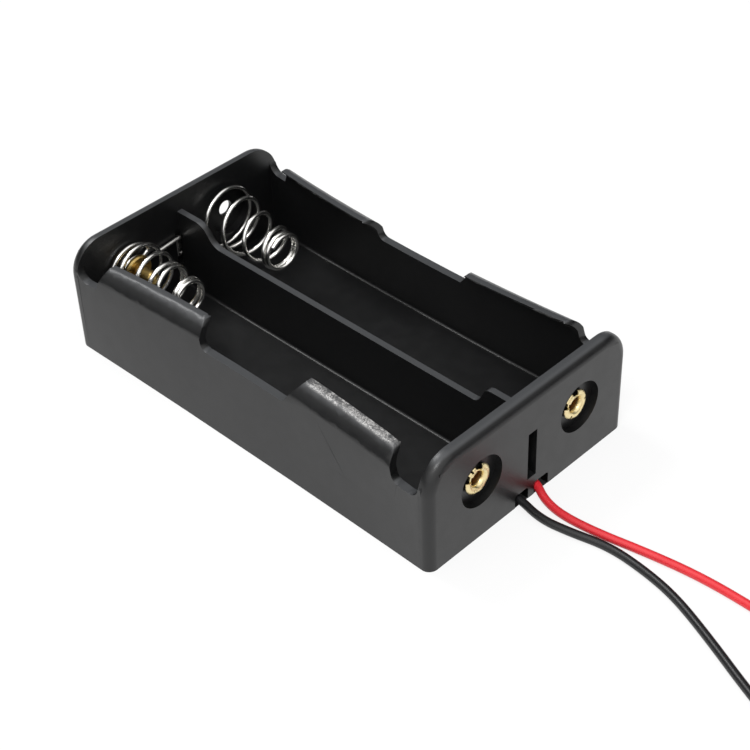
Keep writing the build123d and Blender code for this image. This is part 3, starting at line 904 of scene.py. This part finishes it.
# Lengths of the two leads' lines, worked out and not kept

spline_length(red_wire)
spline_length(black_wire)


# Floor, light and backdrop

# The floor is painted dark as shadow within these half sizes in millimetres, so that the leads'
# notches stay dark
SHADOW_HALF_LENGTH = 38.2
SHADOW_HALF_WIDTH = 9.0
SHADOW_TONE = 0.015
WHITE_TONE = 0.88
GLOW_SHARE = 0.8

# Where the sky is brightest, the soft edge of that part, and the strengths outside and inside it
SKY_AIM = (0.32, -0.32, 0.75)
SKY_EDGE = (0.26, 0.60)
SKY_STRENGTH = (0.04, 1.2)


def floor_finish():
    """White paper that also glows, but only for the camera and in reflections; under the housing
    it is painted dark as shadow and does not glow.
    """
    finish = Finish("white_floor")
    along, across = finish.axes(finish.place)[:2]
    beyond = [
        finish.math("GREATER_THAN", finish.math("ABSOLUTE", distance), half * MM)
        for distance, half in ((along, SHADOW_HALF_LENGTH), (across, SHADOW_HALF_WIDTH))
    ]
    unshadowed_floor = finish.math("MAXIMUM", *beyond)
    # Painted shadow: under the housing the floor's colour is near black
    finish.set(
        Base_Color=finish.step(unshadowed_floor, 0.0, 1.0, SHADOW_TONE, WHITE_TONE),
        Roughness=0.9,
    )
    glow = finish.nodes.new("ShaderNodeEmission")
    glow.inputs["Color"].default_value = grey(1.0)
    ray = finish.nodes.new("ShaderNodeLightPath")
    seen = finish.math("MAXIMUM", ray.outputs["Is Camera Ray"], ray.outputs["Is Glossy Ray"])
    mix = finish.nodes.new("ShaderNodeMixShader")
    finish.put(finish.product(unshadowed_floor, finish.product(seen, GLOW_SHARE)), mix.inputs["Fac"])
    finish.put(finish.shader.outputs[0], mix.inputs[1])
    finish.put(glow.outputs[0], mix.inputs[2])
    finish.put(mix.outputs[0], finish.nodes["Material Output"].inputs["Surface"])
    return finish.material


bpy.ops.object.select_all(action="DESELECT")
bpy.ops.mesh.primitive_plane_add(size=3.0, location=(0, 0, 0))
floor = bpy.context.active_object
floor.name = "floor"
dress(floor, floor_finish())

world = bpy.data.worlds.new("soft_light")
bpy.context.scene.world = world
world.use_nodes = True
nodes = world.node_tree.nodes
links = world.node_tree.links
sky = nodes["Background"]
sky.inputs["Color"].default_value = grey(1.0)
heading = nodes.new("ShaderNodeTexCoord")
aim = nodes.new("ShaderNodeVectorMath")
aim.operation = "DOT_PRODUCT"
aim.inputs[1].default_value = SKY_AIM
links.new(heading.outputs["Generated"], aim.inputs[0])
rise = nodes.new("ShaderNodeMapRange")
rise.interpolation_type = "SMOOTHSTEP"
rise.inputs["From Min"].default_value = SKY_EDGE[0]
rise.inputs["From Max"].default_value = SKY_EDGE[1]
rise.inputs["To Min"].default_value = SKY_STRENGTH[0]
rise.inputs["To Max"].default_value = SKY_STRENGTH[1]
links.new(aim.outputs["Value"], rise.inputs["Value"])
links.new(rise.outputs["Result"], sky.inputs["Strength"])


def softbox(name, place, target, size, power):
    """Rectangular lamp turned towards its target, in metres and watts."""
    data = bpy.data.lights.new(name, "AREA")
    data.shape = "RECTANGLE"
    data.size = size[0]
    data.size_y = size[1]
    data.energy = power
    lamp = bpy.data.objects.new(name, data)
    bpy.context.scene.collection.objects.link(lamp)
    lamp.location = place
    lamp.rotation_euler = (Vector(target) - Vector(place)).to_track_quat("-Z", "Y").to_euler()


softbox("front_key", (0.18, -0.31, 0.60), (0, 0, 0), (0.20, 0.20), 1.6)
softbox("left_strip", (-0.39, -0.02, 0.58), (0, 0, 0), (0.20, 0.20), 1.6)

bpy.context.view_layer.update()
